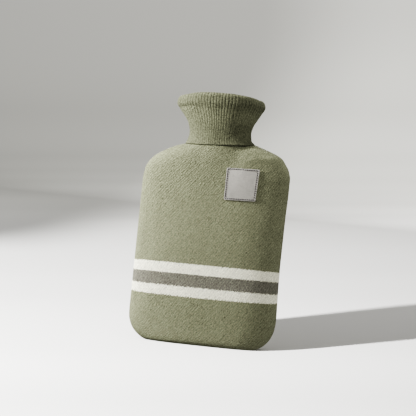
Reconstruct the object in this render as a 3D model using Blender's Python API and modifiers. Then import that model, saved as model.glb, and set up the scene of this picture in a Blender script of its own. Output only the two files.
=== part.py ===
"""Knitted cover for a two-litre hot water bottle, standing upright in its filled shape.

Two knitted panels meet at the sides and along a flat base. A flared, ribbed collar is sewn on
at the neck and its rim is turned in as a hem. A small square label sits on the front.
The front faces -Y, +X is to the right of someone who looks at it, and +Z is up.
"""

import math
from collections import namedtuple

import bmesh
import bpy
from mathutils import Vector
from mathutils.bvhtree import BVHTree

MM = 0.001

# Cloth, in millimetres
PANEL_CLOTH = 2.6
COLLAR_CLOTH = 2.6
LABEL_CLOTH = 1.0
GAP = 0.3

# How finely the solids follow the cloth
PANEL_COLUMNS = 26
PANEL_STEP = 21.0
COLLAR_POINTS_PER_RIB = 2

# Ribs of the collar, which start flat at the neck seam and deepen towards the hem
RIB_COUNT = 96
RIB_RELIEF_AT_HEM = 1.1

# The collar stands a little proud of the panels where it is sewn on: forward and back at its
# middles, and upwards at its ends, where the shoulders are nearly level
COLLAR_OVERHANG = 0.8
COLLAR_MIDDLE_LIFT = 0.9
COLLAR_END_LIFT = 1.1

# Label
LABEL_SIZE = 44.4
LABEL_CENTRE_X = 34.5
LABEL_CENTRE_Z = 228.7
LABEL_TURN_DEG = 2.5
LABEL_CELLS = 7
LABEL_FREE_EDGE_LIFT = 1.3

# A ring is one level line round the cover, in millimetres: its left and right ends, half its
# depth from front to back, the height of its front and back middles, and how square its plan is
# (2 is an ellipse). ARCH_POWER says how squarely a ring rises from its ends to its middles.
ARCH_POWER = 2.7
Ring = namedtuple("Ring", "left_x left_z right_x right_z depth middle_z power")

NECK_SEAM = Ring(-50.4, 279.6, 47.9, 285.9, 26.4, 280.2, 2.2)

# From the slit of the base seam, over the flat base, up the sides and over the shoulders. The
# left shoulder is lower and rounder than the right one.
PANEL_RINGS = (
    Ring(-60.0, 0.0, 56.0, 0.0, 0.0, 0.0, 2.0),
    Ring(-67.0, 0.0, 64.0, 0.0, 11.5, 0.0, 2.4),
    Ring(-74.5, 0.0, 72.0, 0.0, 20.5, 0.0, 2.7),
    Ring(-81.0, 1.7, 80.0, 1.5, 24.6, 1.5, 2.7),
    Ring(-87.4, 5.4, 86.9, 5.2, 27.0, 5.0, 2.6),
    Ring(-94.2, 11.3, 93.4, 11.2, 28.3, 11.2, 2.5),
    Ring(-99.9, 20.3, 99.3, 20.5, 29.0, 20.5, 2.5),
    Ring(-102.9, 31.0, 102.4, 31.0, 29.5, 31.0, 2.4),
    Ring(-103.5, 44.0, 103.5, 44.0, 29.8, 44.0, 2.4),
    Ring(-103.5, 78.0, 102.2, 78.0, 30.2, 78.0, 2.4),
    Ring(-103.5, 130.0, 100.9, 130.0, 30.3, 130.0, 2.4),
    Ring(-103.5, 185.0, 100.9, 185.0, 29.8, 184.0, 2.4),
    Ring(-103.5, 221.0, 101.6, 222.0, 29.2, 218.0, 2.4),
    Ring(-101.6, 238.8, 101.4, 243.0, 28.7, 236.5, 2.4),
    Ring(-97.2, 248.5, 98.5, 254.3, 28.2, 247.0, 2.4),
    Ring(-91.2, 256.0, 93.2, 263.2, 27.8, 255.5, 2.4),
    Ring(-82.6, 263.2, 86.9, 271.2, 27.4, 262.5, 2.4),
    Ring(-72.6, 269.4, 74.8, 277.4, 27.0, 268.6, 2.3),
    Ring(-61.3, 275.2, 62.0, 281.6, 26.7, 273.8, 2.3),
    Ring(-54.8, 277.8, 53.3, 284.0, 26.5, 277.3, 2.2),
    NECK_SEAM,
)

# From the neck seam up the flare, over the turned rim and down to the hem inside. The rim is
# higher at its front and back than at its ends, and its left end hangs lowest.
COLLAR_RINGS = (
    NECK_SEAM._replace(
        depth=NECK_SEAM.depth + COLLAR_OVERHANG,
        left_z=NECK_SEAM.left_z + COLLAR_END_LIFT,
        right_z=NECK_SEAM.right_z + COLLAR_END_LIFT,
        middle_z=NECK_SEAM.middle_z + COLLAR_MIDDLE_LIFT,
    ),
    Ring(-47.4, 285.2, 42.4, 290.2, 26.2, 286.5, 2.1),
    Ring(-46.1, 293.2, 40.4, 300.5, 25.8, 296.0, 2.1),
    Ring(-49.0, 307.0, 42.6, 311.2, 27.4, 308.5, 2.0),
    Ring(-55.6, 317.6, 47.4, 320.4, 30.4, 320.0, 2.0),
    Ring(-62.0, 325.8, 52.2, 329.4, 33.8, 330.5, 2.0),
    Ring(-66.3, 333.6, 56.2, 338.4, 36.8, 341.0, 2.0),
    Ring(-65.4, 340.0, 54.8, 344.0, 36.6, 348.4, 2.0),
    Ring(-60.6, 344.4, 50.4, 347.6, 33.0, 353.0, 2.0),
    Ring(-56.0, 342.0, 46.0, 345.2, 28.8, 350.4, 2.0),
    Ring(-54.6, 335.4, 44.6, 338.6, 27.0, 343.4, 2.0),
)

# A soft trough in the front panel, in millimetres: its lower and upper end, its depth and how
# far it spreads to each side.
Crease = namedtuple("Crease", "low_x low_z high_x high_z depth spread")

FRONT_CREASES = (
    Crease(92.5, 105.0, 91.5, 214.0, 1.3, 4.5),
    Crease(2.0, 252.0, 16.0, 274.0, 1.2, 7.0),
    Crease(-30.0, 262.0, -22.0, 278.0, 0.6, 7.0),
    Crease(-88.0, 120.0, -90.0, 180.0, 0.5, 9.0),
)

# Colours, as linear red, green and blue
SAGE_KNIT = (0.300, 0.305, 0.178, 1.0)
LABEL_GREY = (0.420, 0.400, 0.385, 1.0)
KNIT_ROUGHNESS = 0.95
LABEL_ROUGHNESS = 0.8


def clear_scene():
    for thing in list(bpy.data.objects):
        bpy.data.objects.remove(thing, do_unlink=True)


def make_collection(name):
    collection = bpy.data.collections.new(name)
    bpy.context.scene.collection.children.link(collection)
    return collection


def cloth_material(name, colour, roughness):
    material = bpy.data.materials.new(name)
    material.use_nodes = True
    shader = material.node_tree.nodes["Principled BSDF"]
    shader.inputs["Base Color"].default_value = colour
    shader.inputs["Roughness"].default_value = roughness
    shader.inputs["Metallic"].default_value = 0.0
    material.diffuse_color = colour
    return material


def signed_power(value, power):
    return math.copysign(abs(value) ** power, value)


def ring_point(ring, turn):
    """Point of a ring at an angle that runs from its right end over the front to its left end."""
    across = signed_power(math.cos(turn), 2 / ring.power)
    deep = signed_power(math.sin(turn), 2 / ring.power)
    half_width = (ring.right_x - ring.left_x) / 2
    half_tilt = (ring.right_z - ring.left_z) / 2
    mean_z = (ring.right_z + ring.left_z) / 2
    rise = (ring.middle_z - mean_z) * (1 - abs(across) ** ARCH_POWER)
    return Vector((
        ring.left_x + half_width * (1 + across),
        -ring.depth * deep,
        mean_z + half_tilt * across + rise,
    ))


def cloth_run(rings):
    """Distance run over the cloth up to each ring."""
    run = [0.0]
    for low, high in zip(rings, rings[1:]):
        end = math.hypot(high.left_x - low.left_x, high.left_z - low.left_z)
        middle = math.hypot(high.depth - low.depth, high.middle_z - low.middle_z)
        run.append(run[-1] + (end + middle) / 2)
    return run


def slopes(run, values):
    """Slopes of a smooth curve through values that never swings past them."""
    steps = [b - a for a, b in zip(run, run[1:])]
    grades = [(b - a) / step for a, b, step in zip(values, values[1:], steps)]
    inner = []
    for index in range(len(grades) - 1):
        before, after = grades[index], grades[index + 1]
        if before * after <= 0:
            inner.append(0.0)
            continue
        weight_before = 2 * steps[index + 1] + steps[index]
        weight_after = steps[index + 1] + 2 * steps[index]
        weights = weight_before + weight_after
        inner.append(weights / (weight_before / before + weight_after / after))
    return [grades[0]] + inner + [grades[-1]]


def smooth_rings(rings, step):
    """The table's rings with others between them, so that none are much over a step apart."""
    run = cloth_run(rings)
    columns = list(zip(*rings))
    column_slopes = [slopes(run, column) for column in columns]
    result = []
    for index, length in enumerate(b - a for a, b in zip(run, run[1:])):
        parts = max(1, round(length / step))
        for part in range(parts):
            t = part / parts
            keep_low = (1 + 2 * t) * (1 - t) ** 2
            keep_high = t * t * (3 - 2 * t)
            leave = t * (1 - t) ** 2 * length
            arrive = t * t * (t - 1) * length
            result.append(Ring(*(
                keep_low * column[index] + keep_high * column[index + 1]
                + leave * slope[index] + arrive * slope[index + 1]
                for column, slope in zip(columns, column_slopes)
            )))
    result.append(rings[-1])
    return result


def crease_depth(crease, x, z):
    """How far a crease draws the cloth in at a place on the front."""
    along_x = crease.high_x - crease.low_x
    along_z = crease.high_z - crease.low_z
    length = math.hypot(along_x, along_z)
    along = ((x - crease.low_x) * along_x + (z - crease.low_z) * along_z) / length
    aside = ((x - crease.low_x) * along_z - (z - crease.low_z) * along_x) / length
    past_end = max(-along, along - length, 0.0)
    ends = math.exp(-(past_end / (2 * crease.spread)) ** 2)
    return crease.depth * ends * math.exp(-(aside / crease.spread) ** 2)


def new_mesh_object(name, mesh_data, material, collection):
    mesh = bpy.data.meshes.new(name)
    mesh_data.to_mesh(mesh)
    mesh_data.free()
    mesh.materials.append(material)
    thing = bpy.data.objects.new(name, mesh)
    collection.objects.link(thing)
    return thing


def add_thickness(thing, cloth, outward):
    solidify = thing.modifiers.new("Cloth", "SOLIDIFY")
    solidify.thickness = cloth * MM
    solidify.offset = 1.0 if outward else -1.0
    solidify.use_even_offset = True
    solidify.use_quality_normals = True


def apply_modifiers(thing):
    evaluated = thing.evaluated_get(bpy.context.evaluated_depsgraph_get())
    finished = bpy.data.meshes.new_from_object(evaluated)
    thing.modifiers.clear()
    thing.data = finished


def smooth_shade(thing, angle_deg):
    thing.data.shade_smooth()
    thing.data.set_sharp_from_angle(angle=math.radians(angle_deg))


def make_panel(name, front, creases, material, collection):
    """Half of the body, from the base seam to the neck, trimmed flat where it meets the other."""
    side = 1 if front else -1
    data = bmesh.new()
    rows = []
    for ring in smooth_rings(PANEL_RINGS, PANEL_STEP):
        row = []
        for column in range(PANEL_COLUMNS + 1):
            point = ring_point(ring, math.pi * column / PANEL_COLUMNS)
            drawn_in = sum(crease_depth(crease, point.x, point.z) for crease in creases)
            on_face = min(1.0, abs(point.y) / ring.depth * 2) if ring.depth else 0.0
            point.y += drawn_in * on_face
            point.y = side * min(point.y, -GAP / 2)
            row.append(data.verts.new(point * MM))
        rows.append(row)
    for low, high in zip(rows, rows[1:]):
        for column in range(PANEL_COLUMNS):
            corners = [low[column], high[column], high[column + 1], low[column + 1]]
            data.faces.new(corners if front else corners[::-1])
    panel = new_mesh_object(name, data, material, collection)
    add_thickness(panel, PANEL_CLOTH, outward=False)
    apply_modifiers(panel)
    for vertex in panel.data.vertices:
        vertex.co.y = side * min(side * vertex.co.y, -GAP / 2 * MM)
    smooth_shade(panel, 40)
    return panel


def even_turns(ring, count):
    """Angles that part a ring into stretches of equal length."""
    fine = 720
    points = [ring_point(ring, 2 * math.pi * i / fine) for i in range(fine + 1)]
    run = [0.0]
    for a, b in zip(points, points[1:]):
        run.append(run[-1] + (b - a).length)
    turns = []
    index = 0
    for step in range(count):
        target = run[-1] * step / count
        while run[index + 1] < target:
            index += 1
        part = (target - run[index]) / (run[index + 1] - run[index])
        turns.append(2 * math.pi * (index + part) / fine)
    return turns


def make_collar(name, material, collection):
    """Flared tube whose points stand out and in by turns, as the ribs do."""
    count = RIB_COUNT * COLLAR_POINTS_PER_RIB
    data = bmesh.new()
    rows = []
    for ring in COLLAR_RINGS:
        turns = even_turns(ring, count)
        rows.append([data.verts.new(ring_point(ring, turn) * MM) for turn in turns])
    for low, high in zip(rows, rows[1:]):
        for column in range(count):
            after = (column + 1) % count
            data.faces.new([low[column], high[column], high[after], low[after]])
    data.normal_update()
    for number, row in enumerate(rows):
        relief = RIB_RELIEF_AT_HEM * math.sqrt(number / (len(rows) - 1))
        for column, vertex in enumerate(row):
            if column % COLLAR_POINTS_PER_RIB:
                vertex.co -= vertex.normal * relief * MM
    collar = new_mesh_object(name, data, material, collection)
    add_thickness(collar, COLLAR_CLOTH, outward=False)
    smooth_shade(collar, 60)
    return collar


def make_label(name, front_panel, material, collection):
    """Square patch laid on the front, held down at its left and standing off at its right."""
    data = bmesh.new()
    data.from_mesh(front_panel.data)
    front = BVHTree.FromBMesh(data)
    data.clear()
    turn = math.radians(LABEL_TURN_DEG)
    straight_ahead = Vector((0, 1, 0))
    rows = []
    for up in range(LABEL_CELLS + 1):
        row = []
        for along in range(LABEL_CELLS + 1):
            side_step = (along / LABEL_CELLS - 0.5) * LABEL_SIZE
            up_step = (up / LABEL_CELLS - 0.5) * LABEL_SIZE
            x = LABEL_CENTRE_X + side_step * math.cos(turn) - up_step * math.sin(turn)
            z = LABEL_CENTRE_Z + side_step * math.sin(turn) + up_step * math.cos(turn)
            hit = front.ray_cast(Vector((x, -100, z)) * MM, straight_ahead)[0]
            lift = GAP + LABEL_FREE_EDGE_LIFT * (along / LABEL_CELLS) ** 3
            hit.y -= lift * MM
            row.append(data.verts.new(hit))
        rows.append(row)
    for low, high in zip(rows, rows[1:]):
        for along in range(LABEL_CELLS):
            data.faces.new([low[along], low[along + 1], high[along + 1], high[along]])
    label = new_mesh_object(name, data, material, collection)
    add_thickness(label, LABEL_CLOTH, outward=True)
    smooth_shade(label, 40)
    return label


def main():
    clear_scene()
    cover = make_collection("Hot water bottle cover")
    front = make_panel(
        "front_panel", True, FRONT_CREASES,
        cloth_material("front_knit", SAGE_KNIT, KNIT_ROUGHNESS), cover,
    )
    make_panel("back_panel", False, (), cloth_material("back_knit", SAGE_KNIT, KNIT_ROUGHNESS), cover)
    make_collar("rib_collar", cloth_material("rib_knit", SAGE_KNIT, KNIT_ROUGHNESS), cover)
    make_label("label", front, cloth_material("label_weave", LABEL_GREY, LABEL_ROUGHNESS), cover)


main()
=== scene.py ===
"""Knitted hot water bottle cover, dressed with its cloth, ribs, stripes, label and sewing.

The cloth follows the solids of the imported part, at the same places and sizes. The file is laid
out as a Blender add-on: each piece has an operator, its sizes and colours are properties, and a
panel in the sidebar lists them. Lengths in tables are millimetres, all others are metres.
"""

import math
from collections import namedtuple

import bpy
import numpy as np
from bpy.props import FloatProperty, FloatVectorProperty, IntProperty, PointerProperty
from bpy.types import Operator, Panel, PropertyGroup
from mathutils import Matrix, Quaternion, Vector, noise
from mathutils.bvhtree import BVHTree


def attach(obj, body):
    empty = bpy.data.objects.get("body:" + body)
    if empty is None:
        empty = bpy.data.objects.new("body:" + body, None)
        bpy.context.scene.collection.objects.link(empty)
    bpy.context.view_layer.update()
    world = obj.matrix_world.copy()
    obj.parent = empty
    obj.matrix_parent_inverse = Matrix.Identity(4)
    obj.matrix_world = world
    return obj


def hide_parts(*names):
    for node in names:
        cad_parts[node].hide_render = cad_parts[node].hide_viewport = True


bl_info = {
    "name": "Knitted hot water bottle cover",
    "version": (1, 0, 0),
    "blender": (4, 5, 0),
    "location": "3D View > Sidebar > Cover",
    "description": "Builds the cloth, ribs, stripes, label and sewing of a knitted bottle cover",
    "category": "Object",
}

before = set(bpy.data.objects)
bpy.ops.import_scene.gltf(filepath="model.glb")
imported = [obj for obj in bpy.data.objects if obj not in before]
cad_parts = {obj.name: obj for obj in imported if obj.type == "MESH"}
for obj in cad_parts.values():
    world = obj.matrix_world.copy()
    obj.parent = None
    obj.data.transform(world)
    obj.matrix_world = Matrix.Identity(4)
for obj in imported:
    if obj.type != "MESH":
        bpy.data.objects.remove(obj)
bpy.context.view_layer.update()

MM = 0.001
BODY = "root"
CLOTH_UV = "cloth"

# A ring is one level line round the cover: its left and right ends, half its depth from front to
# back, the height of its front and back middles, and how square its plan is (2 is an ellipse).
# ARCH_POWER says how squarely a ring rises from its ends to its middles.
ARCH_POWER = 2.7
Ring = namedtuple("Ring", "left_x left_z right_x right_z depth middle_z power")

NECK_SEAM = Ring(-49.4, 278.3, 46.3, 286.3, 26.4, 280.2, 2.2)

# From the slit of the base seam, over the flat base, up the sides and over the shoulders
PANEL_RINGS = (
    Ring(-60, 0, 56, 0, 0, 0, 2),
    Ring(-69, 0, 65, 0, 11.5, 0, 2.4),
    Ring(-78, 0.3, 72.5, 0.2, 21.4, 0.8, 2.8),
    Ring(-82.4, 1.9, 80, 1.6, 25.2, 2.6, 2.8),
    Ring(-87.6, 5.4, 86.9, 5.2, 26.8, 5.8, 2.7),
    Ring(-94.2, 11.3, 93.4, 11.2, 27.4, 11.2, 2.6),
    Ring(-99.9, 20.3, 99.3, 20.5, 27.7, 20.5, 2.5),
    Ring(-102.9, 31, 102.4, 31, 28.1, 31, 2.4),
    Ring(-103.5, 44, 103.5, 44, 28.7, 44, 2.4),
    Ring(-103.5, 78, 102.2, 78, 30.1, 78, 2.4),
    Ring(-103.5, 130, 100.9, 130, 31.3, 130, 2.4),
    Ring(-103.5, 185, 100.9, 185, 30.4, 184, 2.4),
    Ring(-103.5, 221, 101.6, 222, 28.7, 218, 2.4),
    Ring(-101.6, 238.8, 101.4, 243, 28, 236.5, 2.4),
    Ring(-97.2, 248.5, 98.5, 254.3, 27.7, 247, 2.4),
    Ring(-91.2, 256, 93.2, 263.2, 27.5, 255.5, 2.4),
    Ring(-82.6, 262.7, 86.9, 270.9, 27.4, 262.5, 2.4),
    Ring(-72.6, 268.7, 74.8, 277, 27, 268.6, 2.3),
    Ring(-61.3, 274.2, 62, 281.4, 26.7, 273.8, 2.3),
    Ring(-54.8, 276.7, 52.6, 284.4, 26.5, 277.3, 2.2),
    NECK_SEAM,
)

# From the neck seam up the flare, over the turned rim and down to the hem inside
COLLAR_RINGS = (
    Ring(-49.4, 279.2, 46.3, 287, 27.2, 281.3, 2.2),
    Ring(-46.6, 285.2, 42.4, 290.2, 26.2, 286.5, 2.1),
    Ring(-45.4, 293.2, 40.4, 300.5, 25.8, 296, 2.1),
    Ring(-48.6, 307, 42.6, 311.2, 27.4, 308.5, 2),
    Ring(-55.6, 317.6, 47.4, 320.4, 30.4, 320, 2),
    Ring(-62, 325.8, 52.2, 329.4, 33.8, 330.5, 2),
    Ring(-66.3, 333.6, 56.2, 338.4, 36.8, 341, 2),
    Ring(-65.4, 340, 54.8, 344, 36.6, 348.4, 2),
    Ring(-60.6, 344.4, 50.4, 347.6, 33, 353, 2),
    Ring(-56, 342, 46, 345.2, 28.8, 350.4, 2),
    Ring(-54.6, 335.4, 44.6, 338.6, 27, 343.4, 2),
)

# A soft trough in the cloth, placed one by one: its lower and upper end, its depth and its spread
Crease = namedtuple("Crease", "low_x low_z high_x high_z depth spread")

FRONT_CREASES = (
    Crease(90.5, 74, 92, 150, 0.9, 7),
    Crease(93, 154, 92.2, 214, 0.8, 2.8),
    Crease(20, 264, 27, 283, 1.9, 14),
    Crease(18, 279, 34, 268, 0.3, 4.5),
    Crease(-30, 262, -22, 278, 0.4, 8),
    Crease(-88, 120, -90, 180, 0.5, 9),
)
BACK_CREASES = (
    Crease(-70, 190, -84, 236, 0.8, 7),
    Crease(30, 250, 14, 274, 0.9, 7),
    Crease(80, 30, 88, 90, 0.6, 8),
)
COLLAR_CREASES = (
    Crease(-64, 327, -46, 331, 0.9, 2.2),
    Crease(20, 296, 46, 300, 0.5, 4),
)

# The wandering of the panels' cloth: how wide its bumps are, and how strong each kind is
PANEL_BUMPS = ((46.0, 1.24), (19.0, 0.56), (7.0, 0.20))

# The stripes' edges, by height at the middle of the front, from the lowest to the highest
STRIPE_EDGES = (68.0, 80.2, 97.1, 110.2)
# The height at which a course is as far up the cloth as it is up the cover
TRUE_HEIGHT = 90.0
# The courses rise to the right, and bow upwards at the front and back, at these heights by these
# bows, which they reach at this depth
COURSE_TILT = 0.0095
BOW_HEIGHTS = (43.0, 68.0, 81.7, 98.0, 112.4, 191.6)
BOWS = (-0.4, -0.4, 1.25, 2.0, 3.3, 0.0)
BOW_DEPTH = 30.0

# Distances of the label's sewing from its left, right, lower and upper edges
LABEL_INSETS = (1.5, 2.4, 2.0, 1.4)
LABEL_UNEVENNESS = 0.12

# How slowly the floor's light fades with distance: 0 as a real lamp does, 2 not at all
FLOOR_REACH = 1.5

# How pale the backdrop is painted, from the top of the picture at 0 to its foot at 1: painted light
# and shade, in the open and inside the painted soft shade at the upper left, and how pale it is
# beside and behind the camera
OPEN_TONES = (
    (0.0, 0.32), (0.25, 0.395), (0.37, 0.48), (0.43, 0.545), (0.457, 0.60), (0.485, 0.655),
    (0.514, 0.825), (0.54, 1.03), (0.56, 1.07), (0.60, 1.07), (0.66, 0.985), (0.72, 0.905),
    (0.86, 0.78), (0.98, 0.625),
)
SHADE_TONES = (
    (0.0, 0.211), (0.25, 0.223), (0.37, 0.264), (0.405, 0.30), (0.43, 0.345), (0.457, 0.428),
    (0.478, 0.46), (0.505, 0.42), (0.55, 0.35), (0.60, 0.45),
)
NEAR_TONE = (0.66, 0.66, 0.66, 1.0)

# Lamps stand round the cover: degrees to the left of its front and upwards, distance in metres,
# side in metres and power in watts. Each lights either the backdrop or all the rest. They point at
# one place in the cover's middle.
Lamp = namedtuple("Lamp", "name azimuth elevation distance side watts lights")
LIT_PLACE = Vector((0.0, 0.0, 0.17))

LAMPS = (
    Lamp("Key", 72.5, 23, 1.5, 0.27, 86, "cover"),
    Lamp("Fill", -40, -8, 2.5, 0.45, 30, "cover"),
    Lamp("Top", -90, 83, 2.5, 0.45, 52, "cover"),
    Lamp("Rear", 180, 20, 2.5, 0.45, 50, "cover"),
    Lamp("Floor light", 34, 15.2, 1.6, 0.045, 74, "backdrop"),
)


# ---- sizes and colours


def number(name, description, default, **kind):
    return FloatProperty(name=name, description=description, default=default, **kind)


def length(name, description, millimetres):
    return number(name, description, millimetres * MM, unit="LENGTH", precision=4)


def angle(name, description, degrees):
    return number(name, description, math.radians(degrees), subtype="ANGLE")


def colour(name, description, red, green, blue):
    return FloatVectorProperty(
        name=name, description=description, default=(red, green, blue, 1.0),
        size=4, min=0.0, max=1.0, subtype="COLOR",
    )


class CoverKnit(PropertyGroup):
    """Sizes of the body's plain knit."""

    cloth: length("Cloth", "Thickness of the knitted cloth", 2.6)
    gap: length("Seam gap", "Distance between the two panels where they meet", 0.3)
    step: length("Mesh step", "Distance between the points of the cloth's mesh", 1.32)
    unevenness: length("Unevenness", "How far the cloth wanders from its even form", 0.45)
    groove: length("Seam groove", "How deep the side and base seams draw the cloth in", 0.5)
    wale: length("Stitch width", "Width of one knitted stitch", 1.4)
    course: length("Stitch height", "Height of one knitted stitch", 1.1)
    relief: length("Stitch relief", "How far the stitches stand out", 0.10)
    grain: length("Grain relief", "Height of the slanting unevenness of the yarn", 0.24)


class CoverRibs(PropertyGroup):
    """Sizes of the ribbed collar."""

    cloth: length("Cloth", "Thickness of the ribbed cloth", 2.6)
    ribs: IntProperty(name="Ribs", description="Number of ribs round the collar", default=72)
    points: IntProperty(name="Points per rib", description="Mesh points across one rib", default=8)
    step: length("Mesh step", "Distance between the collar's rings of points", 1.7)
    low_relief: length("Relief at the seam", "Depth of the furrows at the neck seam", 0.10)
    high_relief: length("Relief at the rim", "Depth of the furrows at the rim", 0.23)
    waver: length("Waver", "How far a rib wanders to its sides", 0.65)
    crowding: length("Crowding", "How far ribs bunch together in places", 2.4)
    unevenness: length("Unevenness", "How far the cloth wanders from its even form", 0.35)
    pitch: length("Rib pitch", "Width of one rib and its furrow in the yarn pattern", 4.2)
    course: length("Stitch height", "Height of one knitted stitch", 1.25)
    relief: length("Stitch relief", "How far the stitches stand out", 0.10)


class CoverLabel(PropertyGroup):
    """Sizes of the woven label and its sewing."""

    size: length("Size", "Length of each side of the square label", 44.4)
    centre_x: length("Centre across", "Distance of its centre from the middle of the front", 34.1)
    centre_z: length("Centre height", "Height of its centre", 229.9)
    turn: angle("Turn", "Slope of its lower and upper edges", 2.3)
    lean: angle("Lean", "Slant of its upright edges", 0.9)
    taper: angle("Taper", "Further slant of its right edge, taken off its left", 1.2)
    cloth: length("Cloth", "Thickness of the label", 0.6)
    lift: length("Free edge lift", "How far its right edge stands off the cloth", 0.3)
    curl: length("Free edge curl", "Further rise of the last of its right edge", 0.25)
    border: length("Border", "Extra height of the folded border", 0.16)
    pull: length("Stitch pull", "How deep the sewing draws the label in", 0.34)
    cells: IntProperty(name="Cells", description="Mesh cells along one side", default=76)
    stitch: length("Stitch length", "Visible length of one running stitch", 2.1)
    spacing: length("Stitch spacing", "Distance from one running stitch to the next", 3.1)
    thread: length("Thread radius", "Radius of the sewing thread", 0.58)


class CoverSeams(PropertyGroup):
    """Sizes of the yarn that joins the panels and the collar."""

    spacing: length("Spacing", "Distance from one joining stitch to the next", 2.2)
    stitch: length("Stitch length", "Length of one joining stitch", 2.3)
    yarn: length("Yarn radius", "Radius of the joining yarn", 0.34)
    slant: angle("Slant", "Angle of a stitch to its seam", 58)
    sunk: length("Neck seam depth", "How deep the stitches of the neck seam lie", 1.3)


class CoverColours(PropertyGroup):
    """Colours of the yarns and threads."""

    sage: colour("Sage yarn", "Main colour of the knit", 0.153, 0.1585, 0.1030)
    white: colour("White yarn", "The two pale stripes", 0.61, 0.601, 0.483)
    grey: colour("Grey yarn", "The middle stripe", 0.134, 0.130, 0.1055)
    label: colour("Label", "The woven label", 0.250, 0.240, 0.216)
    thread: colour("Label thread", "The label's running stitch", 0.036, 0.032, 0.034)
    floor: colour("Floor", "The floor", 0.86, 0.855, 0.835)
    wall: colour("Backdrop", "The backdrop's upper part", 0.86, 0.855, 0.80)
    air: colour("Room light", "The even light from all round", 1.0, 0.992, 0.965)


class CoverStage(PropertyGroup):
    """The picture's camera and lights."""

    distance: length("Camera distance", "From the camera to the cover", 2200.0)
    eye_height: length("Camera height", "Height of the camera", 310.0)
    aim_x: length("Aim across", "Where the camera looks, to the right of the middle", -8.5)
    aim_z: length("Aim height", "Height that the camera looks at", 191.6)
    roll: angle("Roll", "Lean of the picture", 6.1)
    view: length("View height", "Height of the view at the cover", 581.2)
    lamps: number("Lamps", "Strength of all the lamps together", 1.0)
    room: number("Room light", "Strength of the even light from above", 0.47)
    floor_glow: number("Floor glow", "Strength of the even light sent back up by the floor", 0.15)


# ---- node trees


def maths(operation, swapped=False):
    """A method of Wire that adds a Math node of this operation to its tree."""

    def method(wire, *others):
        values = (wire, *others)
        return wire.graph.math(operation, *(values[::-1] if swapped else values))

    return method


class Wire:
    """An output socket of a node tree. A sum on it adds Math nodes to the tree."""

    def __init__(self, graph, socket):
        self.graph = graph
        self.socket = socket

    __add__ = __radd__ = maths("ADD")
    __mul__ = __rmul__ = maths("MULTIPLY")
    __sub__ = maths("SUBTRACT")
    __rsub__ = maths("SUBTRACT", swapped=True)
    __truediv__ = maths("DIVIDE")
    __pow__ = maths("POWER")
    __gt__ = maths("GREATER_THAN")
    __lt__ = maths("LESS_THAN")
    at_most = maths("MINIMUM")
    floor = maths("FLOOR")
    fraction = maths("FRACT")
    size = maths("ABSOLUTE")
    sine = maths("SINE")
    cosine = maths("COSINE")

    def sibling(self, name):
        return Wire(self.graph, self.socket.node.outputs[name])

    def smooth_step(self, low, high):
        """0 up to low and 1 from high on, with a soft change between them."""
        sockets = {"Value": self, "From Min": low, "From Max": high}
        return self.graph.node("ShaderNodeMapRange", sockets, interpolation_type="SMOOTHSTEP")


class Graph:
    """A node tree that is being wired, of a material or of Geometry Nodes."""

    def __init__(self, tree):
        self.tree = tree

    def node(self, kind, sockets=(), output=0, **settings):
        """Adds a node: its settings first, then the values or links of its sockets."""
        made = self.tree.nodes.new(kind)
        for name, value in settings.items():
            setattr(made, name, value)
        for name, value in dict(sockets).items():
            if isinstance(value, Wire):
                self.tree.links.new(value.socket, made.inputs[name])
            else:
                made.inputs[name].default_value = value
        return Wire(self, made.outputs[output]) if made.outputs else made

    def math(self, operation, *values):
        return self.node("ShaderNodeMath", enumerate(values), operation=operation)

    def vector_math(self, operation, first, second):
        sockets = {0: first, "Scale" if operation == "SCALE" else 1: second}
        return self.node("ShaderNodeVectorMath", sockets, operation=operation)

    def mix(self, factor, first, second):
        """Blends two colours, from the first at 0 to the second at 1."""
        sockets = {0: factor, 6: first, 7: second}
        return self.node("ShaderNodeMix", sockets, output=2, data_type="RGBA")

    def shade(self, tint, factor):
        """Makes a colour lighter or darker."""
        return self.vector_math("SCALE", tint if isinstance(tint, Wire) else tint[:3], factor)

    def vector(self, x, y, z=0.0):
        return self.node("ShaderNodeCombineXYZ", {"X": x, "Y": y, "Z": z})

    def parts(self, vector):
        """A vector's X, whose siblings are its Y and Z."""
        return self.node("ShaderNodeSeparateXYZ", {0: vector})

    def noise(self, place, scale, detail=2.0, dimensions="3D"):
        sockets = {"Vector": place, "Scale": scale, "Detail": detail}
        return self.node("ShaderNodeTexNoise", sockets, noise_dimensions=dimensions)

    def ramp(self, factor, stops):
        """Greys that change softly with a factor: pairs of its value and the grey there."""
        made = self.node("ShaderNodeValToRGB", {"Fac": factor})
        ramp = made.socket.node.color_ramp
        ramp.interpolation = "EASE"
        elements = ramp.elements
        while len(elements) < len(stops):
            elements.new(0.5)
        for element, (place, grey) in zip(elements, stops):
            element.position = place
            element.color = (grey, grey, grey, 1.0)
        return made

    def cloth_place(self):
        """Distance across the cloth and along it, in metres, from the piece's own UV map."""
        across = self.parts(self.node("ShaderNodeUVMap", uv_map=CLOTH_UV))
        return across, across.sibling("Y")

    def object_place(self):
        return self.node("ShaderNodeTexCoord", output="Object")

    def bump(self, height, millimetres=1.0):
        return self.node("ShaderNodeBump", {"Height": height, "Distance": millimetres * MM})


def new_material(name, roughness, sheen=0.0, sheen_roughness=0.5, specular=0.3):
    """A new material and its graph. The shader's fixed values are set on its own sockets."""
    material = bpy.data.materials.new(name)
    material.use_nodes = True
    shader = material.node_tree.nodes["Principled BSDF"]
    shader.inputs["Roughness"].default_value = roughness
    shader.inputs["Sheen Weight"].default_value = sheen
    shader.inputs["Sheen Roughness"].default_value = sheen_roughness
    shader.inputs["Specular IOR Level"].default_value = specular
    return material, Graph(material.node_tree)


def finish_material(material, **links):
    """Links what varies over the surface to the shader."""
    shader = material.node_tree.nodes["Principled BSDF"]
    for name, wire in links.items():
        material.node_tree.links.new(wire.socket, shader.inputs[name.replace("_", " ")])
    return material


# ---- yarns and cloths


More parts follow.
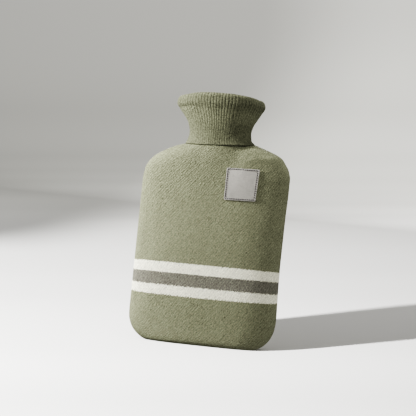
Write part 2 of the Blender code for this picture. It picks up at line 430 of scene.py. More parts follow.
# A knitted stitch: how far its legs climb to their outer ends, in stitches, how blunt they are,
# and how much of their relief comes and goes along them
LEG_LEAN = 0.9
LEG_BLUNTNESS = 0.7
LEG_BULGE = 0.45

# Light of a knit: in its gaps, which are painted in shade, and what its stitches and its broad
# patches add
GAP_LIGHT = 0.80
STITCH_LIGHT = 0.16
PATCH_LIGHT = 0.06
# How far the lumps of the yarn stand out of a knit, in millimetres
LUMP_RELIEF = 0.16


def stitches(from_spine, along, course):
    """Relief of knitted stitches, from 0 to 1, and how many stitches up each place lies.

    Each stitch is a V of two legs. from_spine is 0 at the V's middle and 1 at its sides.
    """
    leg = (from_spine * math.pi).sine().size() ** LEG_BLUNTNESS
    climb = along / course - from_spine * LEG_LEAN
    bulge = (climb * math.tau).cosine() * -0.5 + 0.5
    return leg * (bulge * LEG_BULGE + (1 - LEG_BULGE)), climb


def slanting_grain(graph, across, along):
    """Short, uneven ridges that slant up to the right over the knit, from -1 to 1."""
    slant = math.radians(52)
    spacing = 3.1 * MM
    drift = 1.3
    ridge_length, ridge_width = 8.0 * MM, 5.0 * MM
    lengthwise = across * math.cos(slant) + along * math.sin(slant)
    crosswise = along * math.cos(slant) - across * math.sin(slant)
    place = graph.vector(lengthwise / ridge_length, crosswise / ridge_width)
    drifted = crosswise / spacing + graph.noise(place, 1.0, 1.0, "2D") * drift
    strength = graph.noise(place, 3.6, 0.0, "2D").smooth_step(0.3, 0.7)
    return (drifted * math.tau).sine() * strength


def tufts(graph, place, spread):
    """Blurred lumps of the yarn and the dark gaps between them, from -1 to 1."""
    gap_depth = 0.35
    lumps = graph.noise(place, 1 / spread, 0.0) * 2.0 - 1.0
    gaps = graph.noise(place, 0.7 / spread, 0.0).smooth_step(0.58, 0.76)
    return lumps - gaps * gap_depth


def uneven(graph, distance, cloth, spread, reach, detail=1.0):
    """A distance over the cloth that wanders to and fro, by half its reach at the most."""
    return distance + (graph.noise(cloth, 1 / spread, detail, "2D") - 0.5) * reach


def yarn(graph, relief, fibre, patch, lump):
    """The light of a knit, with painted shade between its stitches, and the fibres and lumps of its
    yarn, from the sizes of each.
    """
    place = graph.object_place()
    patches = graph.noise(place, 1 / patch)
    light = GAP_LIGHT + relief * STITCH_LIGHT + patches * PATCH_LIGHT
    return light, graph.noise(place, 1 / fibre), tufts(graph, place, lump)


def plain_knit(name, sizes, colours):
    """The body's fine knit with its stripes, whose edges follow the stitches."""
    material, graph = new_material(name, 0.95, sheen=0.02, specular=0.08)
    across, along = graph.cloth_place()
    cloth = graph.vector(across, along)
    along = uneven(graph, along, cloth, spread=2.4 * MM, reach=0.75 * MM)
    across = uneven(graph, across, cloth, spread=3.1 * MM, reach=0.35 * MM)
    from_spine = ((across / sizes.wale).fraction() - 0.5).size() * 2.0
    relief, climb = stitches(from_spine, along, sizes.course)
    level = (climb.floor() + (0.5 + LEG_LEAN / 2)) * sizes.course
    level = uneven(graph, level, cloth, spread=1.5 * MM, reach=1.9 * MM, detail=0.0)
    above = [level > edge * MM for edge in STRIPE_EDGES]
    grey = above[1] - above[2]
    pale = above[0] - above[3] - grey
    tint = graph.mix(pale, colours.sage, colours.white)
    tint = graph.mix(grey, tint, colours.grey)

    light, fibres, lumps = yarn(graph, relief, fibre=0.55 * MM, patch=38.0 * MM, lump=1.2 * MM)
    grain = slanting_grain(graph, across, along)
    grain_light, lump_light, fibre_light = 0.25, 0.48, 0.10
    calmer_white, stronger_grey = 0.25, 0.1
    mottle = grain * grain_light + lumps * lump_light
    light = light + fibres * fibre_light + mottle * (1.0 - pale * calmer_white + grey * stronger_grey)

    fibre_relief, calm = 0.05, 0.5
    height = relief * (sizes.relief / MM) + grain * (sizes.grain / MM)
    height = height + fibres * fibre_relief + lumps * LUMP_RELIEF
    # The cloth is pulled smooth over the shoulder that the label is beside
    taut = across.smooth_step(5.0 * MM, 50.0 * MM) * along.smooth_step(120.0 * MM, 200.0 * MM)
    bump = graph.bump(height * (1.0 - taut * calm))
    return finish_material(material, Base_Color=graph.shade(tint, light), Normal=bump)


def rib_knit(name, sizes, colours):
    """The collar's rib knit: a column of stitches on each rib and a furrow beside it in painted
    shade.
    """
    material, graph = new_material(name, 0.95, sheen=0.02, specular=0.08)
    across, along = graph.cloth_place()
    cloth = graph.vector(across, along)
    along = uneven(graph, along, cloth, spread=3.0 * MM, reach=0.6 * MM)
    across = uneven(graph, across, cloth, spread=2.2 * MM, reach=0.9 * MM)
    rib_share = 0.66
    from_ridge = ((across / sizes.pitch + 0.5).fraction() - 0.5).size() * 2.0
    relief, _ = stitches((from_ridge / rib_share).at_most(1.0), along, sizes.course)

    # The furrows are faint at the neck seam. Painted shade darkens the furrows and the whole collar,
    # and painted light pales the flare, which catches more light than the rest
    faint = 0.25
    risen = along.smooth_step(22.0 * MM, 50.0 * MM) * (1 - faint) + faint
    furrow = from_ridge.smooth_step(0.45, 0.95) * risen
    flare = along.smooth_step(24.0 * MM, 38.0 * MM) - along.smooth_step(46.0 * MM, 60.0 * MM)

    light, fibres, lumps = yarn(graph, relief, fibre=0.6 * MM, patch=30.0 * MM, lump=1.6 * MM)
    # Painted shade in the furrows and over the whole collar, and painted light on the flare
    fibre_light, lump_light, furrow_shade = 0.12, 0.55, 0.20
    painted_collar_shade, painted_flare_light = 0.67, 0.22
    light = light + fibres * fibre_light + lumps * lump_light - furrow * furrow_shade
    fibre_relief, furrow_depth = 0.06, 0.06
    height = relief * (sizes.relief / MM) - furrow * furrow_depth
    height = height + fibres * fibre_relief + lumps * LUMP_RELIEF
    tint = graph.shade(colours.sage, light * (painted_collar_shade + flare * painted_flare_light))
    return finish_material(material, Base_Color=tint, Normal=graph.bump(height))


def threads(distance, width):
    """Even threads of this width, laid side by side over a distance, from 0 to 1."""
    return (distance / width * math.tau).sine() * 0.5 + 0.5


def label_weave(name, colours):
    """Close satin weave with fine crosswise ribs, and painted shade that makes it a little darker in
    its lower half.
    """
    material, graph = new_material(name, 0.62, sheen=0.1, specular=0.4)
    across, along = graph.cloth_place()
    weft = threads(along, 0.52 * MM)
    warp = threads(across, 0.34 * MM)
    streak_length, streak_width = 9.0 * MM, 0.8 * MM
    streaks = graph.vector(across / streak_length, along / streak_width)
    streaks = graph.noise(streaks, 1.0, 2.0, "2D")
    blotches = graph.noise(graph.object_place(), 1 / (4.5 * MM), 3.0)
    # Painted shade makes the label a little darker in its lower half
    painted_low_shade = 0.90
    light = 0.72 + weft * 0.07 + warp * 0.03 + streaks * 0.24 + blotches * 0.20
    light = light * (painted_low_shade + along.smooth_step(-20 * MM, 6 * MM) * (1 - painted_low_shade))
    height = weft * 0.04 + warp * 0.02 + streaks * 0.05 + blotches * 0.12
    return finish_material(
        material,
        Base_Color=graph.shade(colours.label, light),
        Roughness=0.55 + streaks * 0.15,
        Normal=graph.bump(height),
    )


def spun_thread(name, tint, roughness):
    """Twisted yarn or thread, with fine fibres."""
    material, graph = new_material(name, roughness, sheen=0.15, specular=0.2)
    fibres = graph.noise(graph.object_place(), 1 / (0.35 * MM), 3.0)
    tint = graph.shade(tint, 0.72 + fibres * 0.5)
    return finish_material(material, Base_Color=tint, Normal=graph.bump(fibres, 0.12))


# ---- the cloth's form


def signed_power(values, power):
    return np.sign(values) * np.abs(values) ** power


def ring_points(ring, turns):
    """Points of a ring at angles that run from its right end over the front to its left end."""
    across = signed_power(np.cos(turns), 2 / ring.power)
    deep = signed_power(np.sin(turns), 2 / ring.power)
    half_width = (ring.right_x - ring.left_x) / 2
    half_tilt = (ring.right_z - ring.left_z) / 2
    mean_z = (ring.right_z + ring.left_z) / 2
    rise = (ring.middle_z - mean_z) * (1 - np.abs(across) ** ARCH_POWER)
    return np.stack((
        ring.left_x + half_width * (1 + across),
        -ring.depth * deep,
        mean_z + half_tilt * across + rise,
    ), axis=-1)


def cloth_run(rings):
    """Distance run over the cloth up to each ring."""
    run = [0.0]
    for low, high in zip(rings, rings[1:]):
        end = math.hypot(high.left_x - low.left_x, high.left_z - low.left_z)
        middle = math.hypot(high.depth - low.depth, high.middle_z - low.middle_z)
        run.append(run[-1] + (end + middle) / 2)
    return np.array(run)


def slopes(run, table):
    """Slopes of smooth curves through a table's columns that never swing past its values."""
    steps = np.diff(run)[:, None]
    grades = np.diff(table, axis=0) / steps
    before, after = grades[:-1], grades[1:]
    turning = before * after <= 0
    before = np.where(turning, 1.0, before)
    after = np.where(turning, 1.0, after)
    weight_before = 2 * steps[1:] + steps[:-1]
    weight_after = steps[1:] + 2 * steps[:-1]
    inner = (weight_before + weight_after) / (weight_before / before + weight_after / after)
    return np.concatenate((grades[:1], np.where(turning, 0.0, inner), grades[-1:]))


def smooth_rings(rings, step):
    """The table's rings with others between them, so that none are much over a step apart."""
    run = cloth_run(rings)
    table = np.array(rings)
    grades = slopes(run, table)
    result = []
    for index, stretch in enumerate(np.diff(run)):
        parts = max(1, round(stretch / step))
        for part in range(parts):
            t = part / parts
            keep_low = (1 + 2 * t) * (1 - t) ** 2
            keep_high = t * t * (3 - 2 * t)
            leave = t * (1 - t) ** 2 * stretch
            arrive = t * t * (t - 1) * stretch
            result.append(Ring(*(
                keep_low * table[index] + keep_high * table[index + 1]
                + leave * grades[index] + arrive * grades[index + 1]
            )))
    result.append(rings[-1])
    return result


def spread_points(ring, end_turn, places):
    """Points at the given shares of the way along a ring, and its length up to end_turn."""
    fine_steps = 1441
    dense = ring_points(ring, np.linspace(0, end_turn, fine_steps))
    run = np.concatenate(([0.0], np.cumsum(np.linalg.norm(np.diff(dense, axis=0), axis=1))))
    wanted = places * run[-1]
    points = np.stack([np.interp(wanted, run, dense[:, axis]) for axis in range(3)], axis=-1)
    return points, run[-1]


def outward(points, closed):
    """Unit directions that point out of a cloth given as rows of points."""
    along = np.gradient(points, axis=0)
    if closed:
        around = (np.roll(points, -1, axis=1) - np.roll(points, 1, axis=1)) / 2
    else:
        around = np.gradient(points, axis=1)
    normals = np.cross(along, around)
    return normals / np.maximum(np.linalg.norm(normals, axis=-1, keepdims=True), 1e-9)


def crease_depth(creases, points):
    """How far the creases draw the cloth in at each point."""
    x, z = points[..., 0], points[..., 2]
    total = np.zeros(x.shape)
    for crease in creases:
        along_x = crease.high_x - crease.low_x
        along_z = crease.high_z - crease.low_z
        stretch = math.hypot(along_x, along_z)
        along = ((x - crease.low_x) * along_x + (z - crease.low_z) * along_z) / stretch
        aside = ((x - crease.low_x) * along_z - (z - crease.low_z) * along_x) / stretch
        past_end = np.maximum(np.maximum(-along, along - stretch), 0.0)
        total += crease.depth * groove(past_end, 2 * crease.spread) * groove(aside, crease.spread)
    return total


def wandering(points, spread, seed):
    """Smooth noise from -1 to 1 at each point, with bumps about as wide as the spread."""
    apart = Vector((17.3 * seed, 5.9 * seed, 11.1 * seed))
    values = [noise.noise(Vector(place) + apart) for place in points.reshape(-1, 3) / spread]
    return np.array(values).reshape(points.shape[:-1])


def groove(distance, half_width):
    """1 along a line, falling softly to nothing at about twice its half width."""
    return np.exp(-((distance / half_width) ** 2))


def fade_in(distance, over):
    """0 at no distance, rising softly to 1 at the distance given by over."""
    share = np.clip(distance / over, 0.0, 1.0)
    return share * share * (3 - 2 * share)


def add_object(name, data):
    thing = bpy.data.objects.new(name, data)
    bpy.context.scene.collection.objects.link(thing)
    return thing


def cloth_object(name, points, uvs, flip, material):
    """A cloth from rows of points, joined end to end each way that uvs has one more of them."""
    rows, columns = points.shape[:2]
    row, column = np.meshgrid(
        np.arange(uvs.shape[0] - 1), np.arange(uvs.shape[1] - 1), indexing="ij"
    )
    corners = [(row, column), (row + 1, column), (row + 1, column + 1), (row, column + 1)]
    if flip:
        corners.reverse()
    faces = np.stack([(r % rows * columns + c % columns).ravel() for r, c in corners], axis=-1)
    loop_uvs = np.stack([uvs[r, c].reshape(-1, 2) for r, c in corners], axis=1)
    mesh = bpy.data.meshes.new(name)
    mesh.from_pydata((points.reshape(-1, 3) * MM).tolist(), [], faces.tolist())
    layer = mesh.uv_layers.new(name=CLOTH_UV)
    layer.uv.foreach_set("vector", (loop_uvs.reshape(-1) * MM).astype(np.float32))
    mesh.materials.append(material)
    mesh.shade_smooth()
    return add_object(name, mesh)


def add_cloth_thickness(thing, cloth):
    """Gives a sheet its thickness on its inner side."""
    solidify = thing.modifiers.new("Cloth", "SOLIDIFY")
    solidify.thickness = cloth
    solidify.offset = -1.0


def add_to_cover(piece, slot, node=None):
    """The piece rides on the body and may stand for a node, whose part it hides; its slot is not
    used.
    """
    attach(piece, BODY)
    if node:
        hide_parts(node)


# ---- the two panels


def panel_points(sizes, creases, seed):
    """Rows of points of the front panel's outer face, and their places on the cloth."""
    rings = smooth_rings(PANEL_RINGS, sizes.step / MM)
    run = cloth_run(rings)
    widest = max(spread_points(ring, math.pi, np.array([0.0]))[1] for ring in rings)
    columns = round(widest / (sizes.step / MM)) + 1
    share = np.linspace(0, 1, columns)
    rows, across = [], []
    for ring in rings:
        points, around = spread_points(ring, math.pi, share)
        rows.append(points)
        across.append((0.5 - share) * around)
    points = np.stack(rows)
    across = np.stack(across)

    middle = points[:, columns // 2, 2]
    climb = run - np.interp(TRUE_HEIGHT, middle, run) + TRUE_HEIGHT
    bow = np.interp(points[..., 2], BOW_HEIGHTS, BOWS) * np.abs(points[..., 1]) / BOW_DEPTH
    along = climb[:, None] - COURSE_TILT * points[..., 0] - bow

    # The cloth is even along the base and the seams, and the creases end before the sides
    base_fade, seam_fade, crease_fade = 14.0, 12.0, 15.0
    side_width, slit_width = 1.7, 1.9
    from_side = np.abs(across[:, :1]) - np.abs(across)
    off_base = fade_in(points[..., 2], base_fade)
    off_neck = fade_in(run[-1] - run, seam_fade)[:, None]
    free = off_base * off_neck * fade_in(from_side, seam_fade)
    swell = (sizes.unevenness / MM) * free * sum(
        wandering(points, spread, seed + index) * strength
        for index, (spread, strength) in enumerate(PANEL_BUMPS)
    )
    seams = groove(from_side, side_width) + groove(run, slit_width)[:, None]
    on_face = np.clip(np.abs(points[..., 1]) / crease_fade, 0.0, 1.0)
    drawn_in = crease_depth(creases, points) * on_face * off_base + (sizes.groove / MM) * seams
    points = points + outward(points, closed=False) * (swell - drawn_in)[..., None]
    points[..., 1] = np.minimum(points[..., 1], -sizes.gap / MM / 2)
    points[..., 2] = np.maximum(points[..., 2], 0.0)
    return points, np.stack((across, along), axis=-1)


class COVER_OT_panels(Operator):
    """Knits the front and back panels over the filled form"""

    bl_idname = "cover.panels"
    bl_label = "Knitted panels"

    def execute(self, context):
        sizes = context.scene.cover_knit
        colours = context.scene.cover_colours
        front, front_uvs = panel_points(sizes, FRONT_CREASES, seed=3)
        back, back_uvs = panel_points(sizes, BACK_CREASES, seed=8)
        back[..., 1] *= -1
        back_uvs[..., 0] *= -1
        for side, points, uvs in (("front", front, front_uvs), ("back", back, back_uvs)):
            knit = plain_knit(f"{side}_knit", sizes, colours)
            panel = cloth_object(f"{side}_cloth", points, uvs, side == "back", knit)
            add_cloth_thickness(panel, sizes.cloth)
            add_to_cover(panel, f"{side}_knit", node=f"{side}_panel")
        return {"FINISHED"}


# ---- the collar


def collar_points(sizes):
    """Rings of points up the collar's outer face and back down its inner face, and their places."""
    rings = smooth_rings(COLLAR_RINGS, sizes.step / MM)
    run = cloth_run(rings)
    count = sizes.ribs * sizes.points
    column = np.arange(count)
    angle = column / count * math.tau

    # The ribs wander to their sides as they rise, and bunch together in wider places
    noise_radius, noise_rise, crowd_spread = 4.4, 11.0, 3.4
    low_waver, full_waver_run = 0.35, 70.0
    risen = low_waver + (1 - low_waver) * np.clip(run / full_waver_run, 0.0, 1.0)
    circle = np.stack((np.cos(angle), np.sin(angle), 0 * angle), -1) * noise_radius
    rows = []
    for ring, height, share in zip(rings, run, risen):
        place = circle + (0.0, 0.0, height / noise_rise)
        waver = wandering(place, 1.0, seed=5) * (sizes.waver / MM) * share
        waver += wandering(place, crowd_spread, seed=12) * (sizes.crowding / MM)
        _, around = spread_points(ring, math.tau, np.array([0.0]))
        rows.append(spread_points(ring, math.tau, (column / count + waver / around) % 1.0)[0])
    points = np.stack(rows)

    # The furrows deepen on their way up, and each has its own uneven depth
    even_run, deepening_run, ridge_bluntness = 20.0, 30.0, 0.8
    rib_unevenness, rib_spread = 0.8, 8.0
    furrow = 1 - np.abs(np.cos(column / sizes.points * math.pi)) ** ridge_bluntness
    deepening = fade_in(run - even_run, deepening_run)
    depth = sizes.low_relief + (sizes.high_relief - sizes.low_relief) * deepening
    uneven_rib = 1 + rib_unevenness * wandering(points, rib_spread, seed=6)
    furrows = (depth / MM)[:, None] * furrow[None, :] * uneven_rib

    seam_fade, crease_fade, swell_spread, swell_strength = 10.0, 12.0, 20.0, 1.6
    normals = outward(points, closed=True)
    free = fade_in(run, seam_fade)[:, None]
    swell = wandering(points, swell_spread, seed=7) * swell_strength * (sizes.unevenness / MM)
    facing = np.clip(-points[..., 1] / crease_fade, 0.0, 1.0)
    drawn_in = crease_depth(COLLAR_CREASES, points) * facing
    even = points + normals * ((swell - drawn_in) * free)[..., None]
    outer = even - normals * furrows[..., None]
    inner = even - normals * (sizes.cloth / MM)

    across = np.arange(count + 1) / sizes.points * (sizes.pitch / MM)
    along = np.concatenate((run, 2 * run[-1] - run[::-1], [2 * run[-1] + 1.0]))
    uvs = np.stack(np.broadcast_arrays(across[None, :], along[:, None]), axis=-1)
    return np.concatenate((outer, inner[::-1])), uvs


class COVER_OT_collar(Operator):
    """Knits the flared, ribbed collar with its turned rim"""

    bl_idname = "cover.collar"
    bl_label = "Ribbed collar"

    def execute(self, context):
        sizes = context.scene.cover_ribs
        points, uvs = collar_points(sizes)
        knit = rib_knit("rib_knit", sizes, context.scene.cover_colours)
        collar = cloth_object("collar_cloth", points, uvs, False, knit)
        add_to_cover(collar, "rib_knit", node="rib_collar")
        return {"FINISHED"}


# ---- rows of stitches


STITCH_SIZES = ("Spacing", "Length", "Height", "Thread radius", "Slant", "Slant spread")


def stitch_row_tree():
    """Geometry Nodes that lay a row of stitches along a path, and the identifiers of their inputs:
    those of STITCH_SIZES and then the thread's material."""
    tree = bpy.data.node_groups.new("Row of stitches", "GeometryNodeTree")
    socket = tree.interface.new_socket
    socket("Path", in_out="INPUT", socket_type="NodeSocketGeometry")
    inputs = [(name, "NodeSocketFloat") for name in STITCH_SIZES]
    inputs.append(("Thread", "NodeSocketMaterial"))
    identifiers = [
        socket(name, in_out="INPUT", socket_type=kind).identifier for name, kind in inputs
    ]
    socket("Stitches", in_out="OUTPUT", socket_type="NodeSocketGeometry")
    graph = Graph(tree)
    node = graph.node
    given = node("NodeGroupInput").sibling

    # One stitch is a low arch of thread, with as many steps along it as it has sides
    steps, peak = 6, 3.0
    half = given("Length") * 0.5
    low = given("Height") * -1.0
    arch = node("GeometryNodeCurveQuadraticBezier", {
        "Resolution": steps,
        "Start": graph.vector(half * -1.0, 0.0, low),
        "Middle": graph.vector(0.0, 0.0, given("Height") * peak),
        "End": graph.vector(half, 0.0, low),
    })
    circle = {"Resolution": steps, "Radius": given("Thread radius")}
    circle = node("GeometryNodeCurvePrimitiveCircle", circle, mode="RADIUS")
    thread = {"Curve": arch, "Profile Curve": circle, "Fill Caps": True}
    stitch = node("GeometryNodeCurveToMesh", thread)

    # Each stitch faces along its point's "out", and is turned by the slant and a small chance
    places = {"Curve": node("GeometryNodeMeshToCurve", {"Mesh": given("Path")})}
    places["Length"] = given("Spacing")
    places = node("GeometryNodeResampleCurve", places, mode="LENGTH")
    out = node("GeometryNodeInputNamedAttribute", {"Name": "out"}, data_type="FLOAT_VECTOR")
    upright = node("FunctionNodeAlignRotationToVector", {"Vector": out}, axis="Z")
    facing = {"Rotation": upright, "Vector": node("GeometryNodeInputTangent")}
    facing = node("FunctionNodeAlignRotationToVector", facing, axis="X", pivot_axis="Z")
    spread = given("Slant spread")
    wobble = {2: spread * -1.0, 3: spread, "Seed": 4}
    wobble = node("FunctionNodeRandomValue", wobble, output=1, data_type="FLOAT")
    turn = {"Axis": (0.0, 0.0, 1.0), "Angle": given("Slant") + wobble}
    turn = {0: facing, 1: node("FunctionNodeAxisAngleToRotation", turn)}
    turned = node("FunctionNodeRotateRotation", turn, rotation_space="LOCAL")
    row = {"Points": places, "Instance": stitch, "Rotation": turned}
    row = node("GeometryNodeInstanceOnPoints", row)
    solid = node("GeometryNodeRealizeInstances", {"Geometry": row})
    dressed = {"Geometry": solid, "Material": given("Thread")}
    node("NodeGroupOutput", {"Stitches": node("GeometryNodeSetMaterial", dressed)})
    return tree, identifiers


def stitch_row(name, points, directions, closed, sizes, thread):
    """A row of stitches along points in metres, each lying on the cloth that faces out."""
    count = len(points)
    edges = [(index, (index + 1) % count) for index in range(count if closed else count - 1)]
    mesh = bpy.data.meshes.new(name)
    mesh.from_pydata([tuple(point) for point in points], edges, [])
    out = mesh.attributes.new("out", "FLOAT_VECTOR", "POINT")
    out.data.foreach_set("vector", np.array(directions, np.float32).ravel())
    row = add_object(name, mesh)
    sewing = row.modifiers.new("Sewing", "NODES")
    sewing.node_group, identifiers = stitch_row_tree()
    for identifier, value in zip(identifiers, (*sizes, thread)):
        sewing[identifier] = value
    evaluated = row.evaluated_get(bpy.context.evaluated_depsgraph_get())
    finished = bpy.data.meshes.new_from_object(evaluated)
    if not finished.polygons:
        raise RuntimeError(f"{name} has no stitches")
    row.modifiers.clear()
    row.data = finished
    finished.shade_smooth()
    return row


# ---- the label


def label_height(sizes, x, z):
    """How far the label's face stands off the cloth at a place from its centre, all in mm."""
    clearance, curl_width = 0.3, 4.0
    border_edge, border_rise, stitch_width = 0.5, 1.0, 0.55
    half = sizes.size / MM / 2
    left, right, low, high = LABEL_INSETS
    lift = (sizes.lift / MM) * ((x + half) / (2 * half)) ** 3
    curl = (sizes.curl / MM) * np.clip((x - half + curl_width) / curl_width, 0, 1) ** 2
    line = np.minimum.reduce([
        x + half - left, half - right - x, z + half - low, half - high - z
    ])
    border = (sizes.border / MM) * (1 - fade_in(line + border_edge, border_rise))
    pull = (sizes.pull / MM) * groove(line, stitch_width)
    return clearance + sizes.cloth / MM + lift + curl + border - pull


def label_place(sizes, cloth, x, z):
    """A point of the label's face and the direction that it faces, in metres."""
    half = sizes.size / MM / 2
    # Its corners are very slightly rounded
    blunt = 40
    square = max(abs(x), abs(z)) / half
    rounded = ((abs(x) / half) ** blunt + (abs(z) / half) ** blunt) ** (1 / blunt)
    ease = square / rounded if rounded > 0 else 1.0
    lean = sizes.lean + sizes.taper * x / half
    across = sizes.centre_x + ease * (x * math.cos(sizes.turn) + z * math.sin(lean)) * MM
    up = sizes.centre_z + ease * (x * math.sin(sizes.turn) + z * math.cos(lean)) * MM
    hit, direction, _, _ = cloth.ray_cast(Vector((across, -0.1, up)), Vector((0, 1, 0)))
    if hit is None:
        raise RuntimeError("the label lies off the front cloth")
    return hit + direction * float(label_height(sizes, x, z)) * MM, direction


def front_surface():
    front = bpy.data.objects["front_cloth"].data
    return BVHTree.FromPolygons(
        [vertex.co for vertex in front.vertices], [face.vertices for face in front.polygons]
    )


def label_sewing_path(sizes, cloth):
    """Points round the label where its sewing lies, and the directions that they face."""
    half = sizes.size / MM / 2
    side_steps = 28
    left, right, low, high = LABEL_INSETS
    corners = [
        (-half + left, -half + low), (half - right, -half + low),
        (half - right, half - high), (-half + left, half - high),
    ]
    places = []
    for (from_x, from_z), (to_x, to_z) in zip(corners, corners[1:] + corners[:1]):
        for share in np.linspace(0, 1, side_steps, endpoint=False):
            x = from_x + (to_x - from_x) * share
            z = from_z + (to_z - from_z) * share
            places.append(label_place(sizes, cloth, x, z))
    return zip(*places)


class COVER_OT_label(Operator):
    """Lays the bare woven label on the front and sews it on with a running stitch"""

    bl_idname = "cover.label"
    bl_label = "Label"

    def execute(self, context):
        sizes = context.scene.cover_label
        colours = context.scene.cover_colours
        bump_spread, thread_arch, slant_spread = 8.0, 0.9, math.radians(5)
        cloth = front_surface()
        half = sizes.size / MM / 2
        ticks = np.linspace(-half, half, sizes.cells + 1)
        points = np.array([
            [label_place(sizes, cloth, x, z)[0] / MM for x in ticks[::-1]] for z in ticks
        ])
        points[..., 1] += wandering(points, bump_spread, seed=9) * LABEL_UNEVENNESS
        uvs = np.stack(np.meshgrid(-ticks, ticks, indexing="xy"), axis=-1)
        patch = cloth_object("label_patch", points, uvs, False, label_weave("label_weave", colours))
        add_cloth_thickness(patch, sizes.cloth)
        add_to_cover(patch, "label_weave", node="label")

        path, directions = label_sewing_path(sizes, cloth)
        height = sizes.thread * thread_arch
        stitch = (sizes.spacing, sizes.stitch, height, sizes.thread, 0.0, slant_spread)
        thread = spun_thread("label_thread", colours.thread, 0.6)
        sewing = stitch_row("label_stitches", path, directions, True, stitch, thread)
        add_to_cover(sewing, "label_weave")
        return {"FINISHED"}


# ---- the seams


def side_seam_path():
    """Down the left side, under the base and up the right side, and the ways that they face."""
    rings = smooth_rings(PANEL_RINGS, 3.0)
    base_steps = 40
    left = [(ring.left_x, ring.left_z) for ring in reversed(rings)]
    right = [(ring.right_x, ring.right_z) for ring in rings]
    base = np.linspace(left[-1], right[0], base_steps, endpoint=False)[1:]
    line = np.concatenate((left, base, right))
    tangents = np.gradient(line, axis=0)
    tangents /= np.linalg.norm(tangents, axis=1, keepdims=True)
    flat = np.zeros(len(line))
    outs = np.stack((tangents[:, 1], flat, -tangents[:, 0]), axis=-1)
    return np.stack((line[:, 0], flat, line[:, 1]), axis=-1) * MM, outs


def neck_seam_path():
    """Round the neck, close to the collar's lower edge, and the ways that its points face."""
    rise = 0.5
    points = ring_points(NECK_SEAM, np.linspace(0, math.tau, 240, endpoint=False))
    points[:, 2] += rise
    ahead = np.roll(points, -1, axis=0) - np.roll(points, 1, axis=0)
    outs = np.cross(np.array([0.0, 0.0, 1.0]), ahead)
    return points * MM, outs / np.linalg.norm(outs, axis=1, keepdims=True)


class COVER_OT_seams(Operator):
    """Joins the panels to each other and to the collar with slanting stitches"""

    bl_idname = "cover.seams"
    bl_label = "Seams"

    def execute(self, context):
        sizes = context.scene.cover_seams
        yarn_arch, yarn_sunk, slant_spread = 0.6, 0.2, math.radians(7)
        yarn = spun_thread("seam_yarn", context.scene.cover_colours.sage, 0.95)
        height = sizes.yarn * yarn_arch
        stitch = (sizes.spacing, sizes.stitch, height, sizes.yarn, sizes.slant, slant_spread)
        sunk = context.scene.cover_knit.groove + sizes.yarn * yarn_sunk
        for name, path, depth, closed, slot in (
            ("side_seam_stitches", side_seam_path(), sunk, False, "front_knit"),
            ("neck_seam_stitches", neck_seam_path(), sizes.sunk, True, "rib_knit"),
        ):
            points, outs = path
            seam = stitch_row(name, points - outs * depth, outs, closed, stitch, yarn)
            add_to_cover(seam, slot)
        return {"FINISHED"}


# ---- the stage


def picture_place(graph, sizes):
    """Where a place of the backdrop lies in the picture, from its left and from its top, and
    whether it is far enough in front of the camera to be seen there."""
    eye = (sizes.aim_x, -sizes.distance, sizes.eye_height)
    ray = graph.parts(graph.vector_math("SUBTRACT", graph.object_place(), eye))
    ahead = ray.sibling("Y")
    across = ray / ahead
    fall = (sizes.eye_height - sizes.aim_z) / sizes.distance
    up = ray.sibling("Z") / ahead + fall
    zoom = sizes.distance / sizes.view
    lean_cos, lean_sin = math.cos(sizes.roll), math.sin(sizes.roll)
    from_left = (across * lean_cos + up * lean_sin) * zoom + 0.5
    from_top = (across * lean_sin - up * lean_cos) * zoom + 0.5
    return from_left, from_top, ahead.smooth_step(0.6, 1.2)


def stage_material(sizes, colours):
    """Pale paper with painted light and shade: greyer towards the top, and a soft round-edged painted
    shade at the upper left.
    """
    material, graph = new_material("stage_paper", 0.9, specular=0.1)
    from_left, from_top, ahead = picture_place(graph, sizes)
    # The painted shade is a quarter of a sagging ellipse, of this size in pictures, which blurs to
    # the right
    shade_width, shade_height = 0.745, 0.575
    across = from_left / shade_width
    sag = across.at_most(0.45)
    down = from_top / shade_height * (0.974 + sag * 0.097 + sag * sag * 0.194)
    reach = (across * across + down * down) ** 0.5
    shaded = 1.0 - reach.smooth_step(0.93 - across * 0.12, 1.03 + across * 0.24)
    open_tone = graph.ramp(from_top, OPEN_TONES)
    tone = graph.mix(shaded, open_tone, graph.ramp(from_top, SHADE_TONES))
    tone = graph.mix(ahead, NEAR_TONE, tone)
    tint = graph.mix(from_top.smooth_step(0.42, 0.60), colours.wall, colours.floor)
    return finish_material(material, Base_Color=graph.vector_math("MULTIPLY", tone, tint))


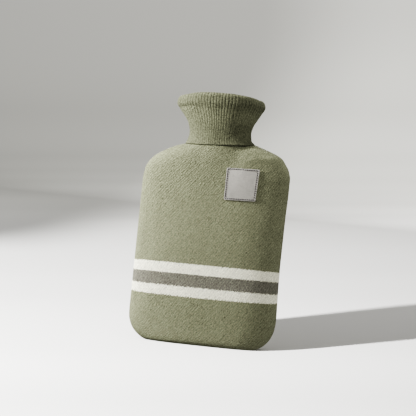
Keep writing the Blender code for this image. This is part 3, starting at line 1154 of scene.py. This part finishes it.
class COVER_OT_stage(Operator):
    """Sets up the floor, the backdrop, the lights and the camera"""

    bl_idname = "cover.stage"
    bl_label = "Stage"

    def execute(self, context):
        sizes = context.scene.cover_stage
        colours = context.scene.cover_colours
        backdrop = self.add_backdrop(sizes, colours)
        self.add_lights(context.scene, sizes, colours, backdrop)
        self.add_camera(context.scene, sizes)
        context.scene.view_settings.look = "AgX - High Contrast"
        return {"FINISHED"}

    def add_backdrop(self, sizes, colours):
        """A wide sheet of paper: floor, then a round bend, then wall. Lengths are metres."""
        half_width, front, back, bend, top = 12.0, -12.0, 3.4, 1.8, 4.5
        turns = np.linspace(0, math.pi / 2, 25)
        curve = zip(back + bend * np.sin(turns), bend * (1 - np.cos(turns)))
        profile = [(front, 0.0), *curve, (back + bend, top)]
        points = [(x, y, z) for y, z in profile for x in (-half_width, half_width)]
        faces = [(2 * i, 2 * i + 1, 2 * i + 3, 2 * i + 2) for i in range(len(profile) - 1)]
        mesh = bpy.data.meshes.new("backdrop")
        mesh.from_pydata(points, [], faces)
        mesh.materials.append(stage_material(sizes, colours))
        mesh.shade_smooth()
        backdrop = add_object("backdrop", mesh)
        backdrop.visible_diffuse = False
        backdrop.visible_shadow = False
        return backdrop

    def add_lights(self, scene, sizes, colours, backdrop):
        world = bpy.data.worlds.new("Room")
        world.use_nodes = True
        background = world.node_tree.nodes["Background"]
        background.inputs["Color"].default_value = colours.air
        graph = Graph(world.node_tree)
        direction = graph.node("ShaderNodeTexCoord", output="Generated")
        upward = graph.parts(direction).sibling("Z")
        strength = (upward > 0.0) * sizes.room + (upward < 0.0) * sizes.floor_glow
        world.node_tree.links.new(strength.socket, background.inputs["Strength"])
        scene.world = world
        for lamp in LAMPS:
            self.add_lamp(sizes, lamp, backdrop)

    def add_lamp(self, sizes, lamp, backdrop):
        """A square lamp that lights only the backdrop, or all but the backdrop."""
        data = bpy.data.lights.new(lamp.name, "AREA")
        data.shape = "SQUARE"
        data.size = lamp.side
        data.energy = lamp.watts * sizes.lamps
        if lamp.lights == "backdrop":
            data.use_nodes = True
            graph = Graph(data.node_tree)
            reach = graph.node("ShaderNodeLightFalloff", {"Strength": 1.0}, output="Linear")
            reach = reach ** FLOOR_REACH
            emission = data.node_tree.nodes["Emission"]
            data.node_tree.links.new(reach.socket, emission.inputs["Strength"])
        thing = add_object(lamp.name, data)
        azimuth, elevation = math.radians(lamp.azimuth), math.radians(lamp.elevation)
        towards = Vector((
            -math.sin(azimuth) * math.cos(elevation),
            -math.cos(azimuth) * math.cos(elevation),
            math.sin(elevation),
        ))
        thing.location = LIT_PLACE + towards * lamp.distance
        thing.rotation_euler = (-towards).to_track_quat("-Z", "Y").to_euler()
        lit = bpy.data.collections.new(f"{lamp.name} receivers")
        lit.objects.link(backdrop)
        state = "INCLUDE" if lamp.lights == "backdrop" else "EXCLUDE"
        lit.collection_objects[0].light_linking.link_state = state
        thing.light_linking.receiver_collection = lit

    def add_camera(self, scene, sizes):
        data = bpy.data.cameras.new("Camera")
        data.lens = data.sensor_width * sizes.distance / sizes.view
        camera = add_object("Camera", data)
        camera.location = (sizes.aim_x, -sizes.distance, sizes.eye_height)
        target = Vector((sizes.aim_x, 0.0, sizes.aim_z))
        look = (target - camera.location).to_track_quat("-Z", "Y")
        lean = Quaternion((0, 0, 1), sizes.roll)
        camera.rotation_euler = (look @ lean).to_euler()
        scene.camera = camera


# ---- the add-on


PROPERTIES = {
    "cover_knit": CoverKnit,
    "cover_ribs": CoverRibs,
    "cover_label": CoverLabel,
    "cover_seams": CoverSeams,
    "cover_colours": CoverColours,
    "cover_stage": CoverStage,
}
OPERATORS = (COVER_OT_stage, COVER_OT_panels, COVER_OT_collar, COVER_OT_label, COVER_OT_seams)


class COVER_PT_sidebar(Panel):
    """Lists the cover's pieces, sizes and colours"""

    bl_idname = "COVER_PT_sidebar"
    bl_label = "Bottle cover"
    bl_space_type = "VIEW_3D"
    bl_region_type = "UI"
    bl_category = "Cover"

    def draw(self, context):
        for name, group in PROPERTIES.items():
            box = self.layout.box()
            box.label(text=group.__name__)
            for size in group.__annotations__:
                box.prop(getattr(context.scene, name), size)
        for operator in OPERATORS:
            self.layout.operator(operator.bl_idname)


def register():
    for group in PROPERTIES.values():
        bpy.utils.register_class(group)
    for name, group in PROPERTIES.items():
        setattr(bpy.types.Scene, name, PointerProperty(type=group))
    for operator in OPERATORS:
        bpy.utils.register_class(operator)
    bpy.utils.register_class(COVER_PT_sidebar)


def unregister():
    bpy.utils.unregister_class(COVER_PT_sidebar)
    for operator in reversed(OPERATORS):
        bpy.utils.unregister_class(operator)
    for name, group in reversed(PROPERTIES.items()):
        delattr(bpy.types.Scene, name)
        bpy.utils.unregister_class(group)


def main():
    register()
    bpy.ops.cover.stage()
    bpy.ops.cover.panels()
    bpy.ops.cover.collar()
    bpy.ops.cover.label()
    bpy.ops.cover.seams()


if __name__ == "__main__":
    main()
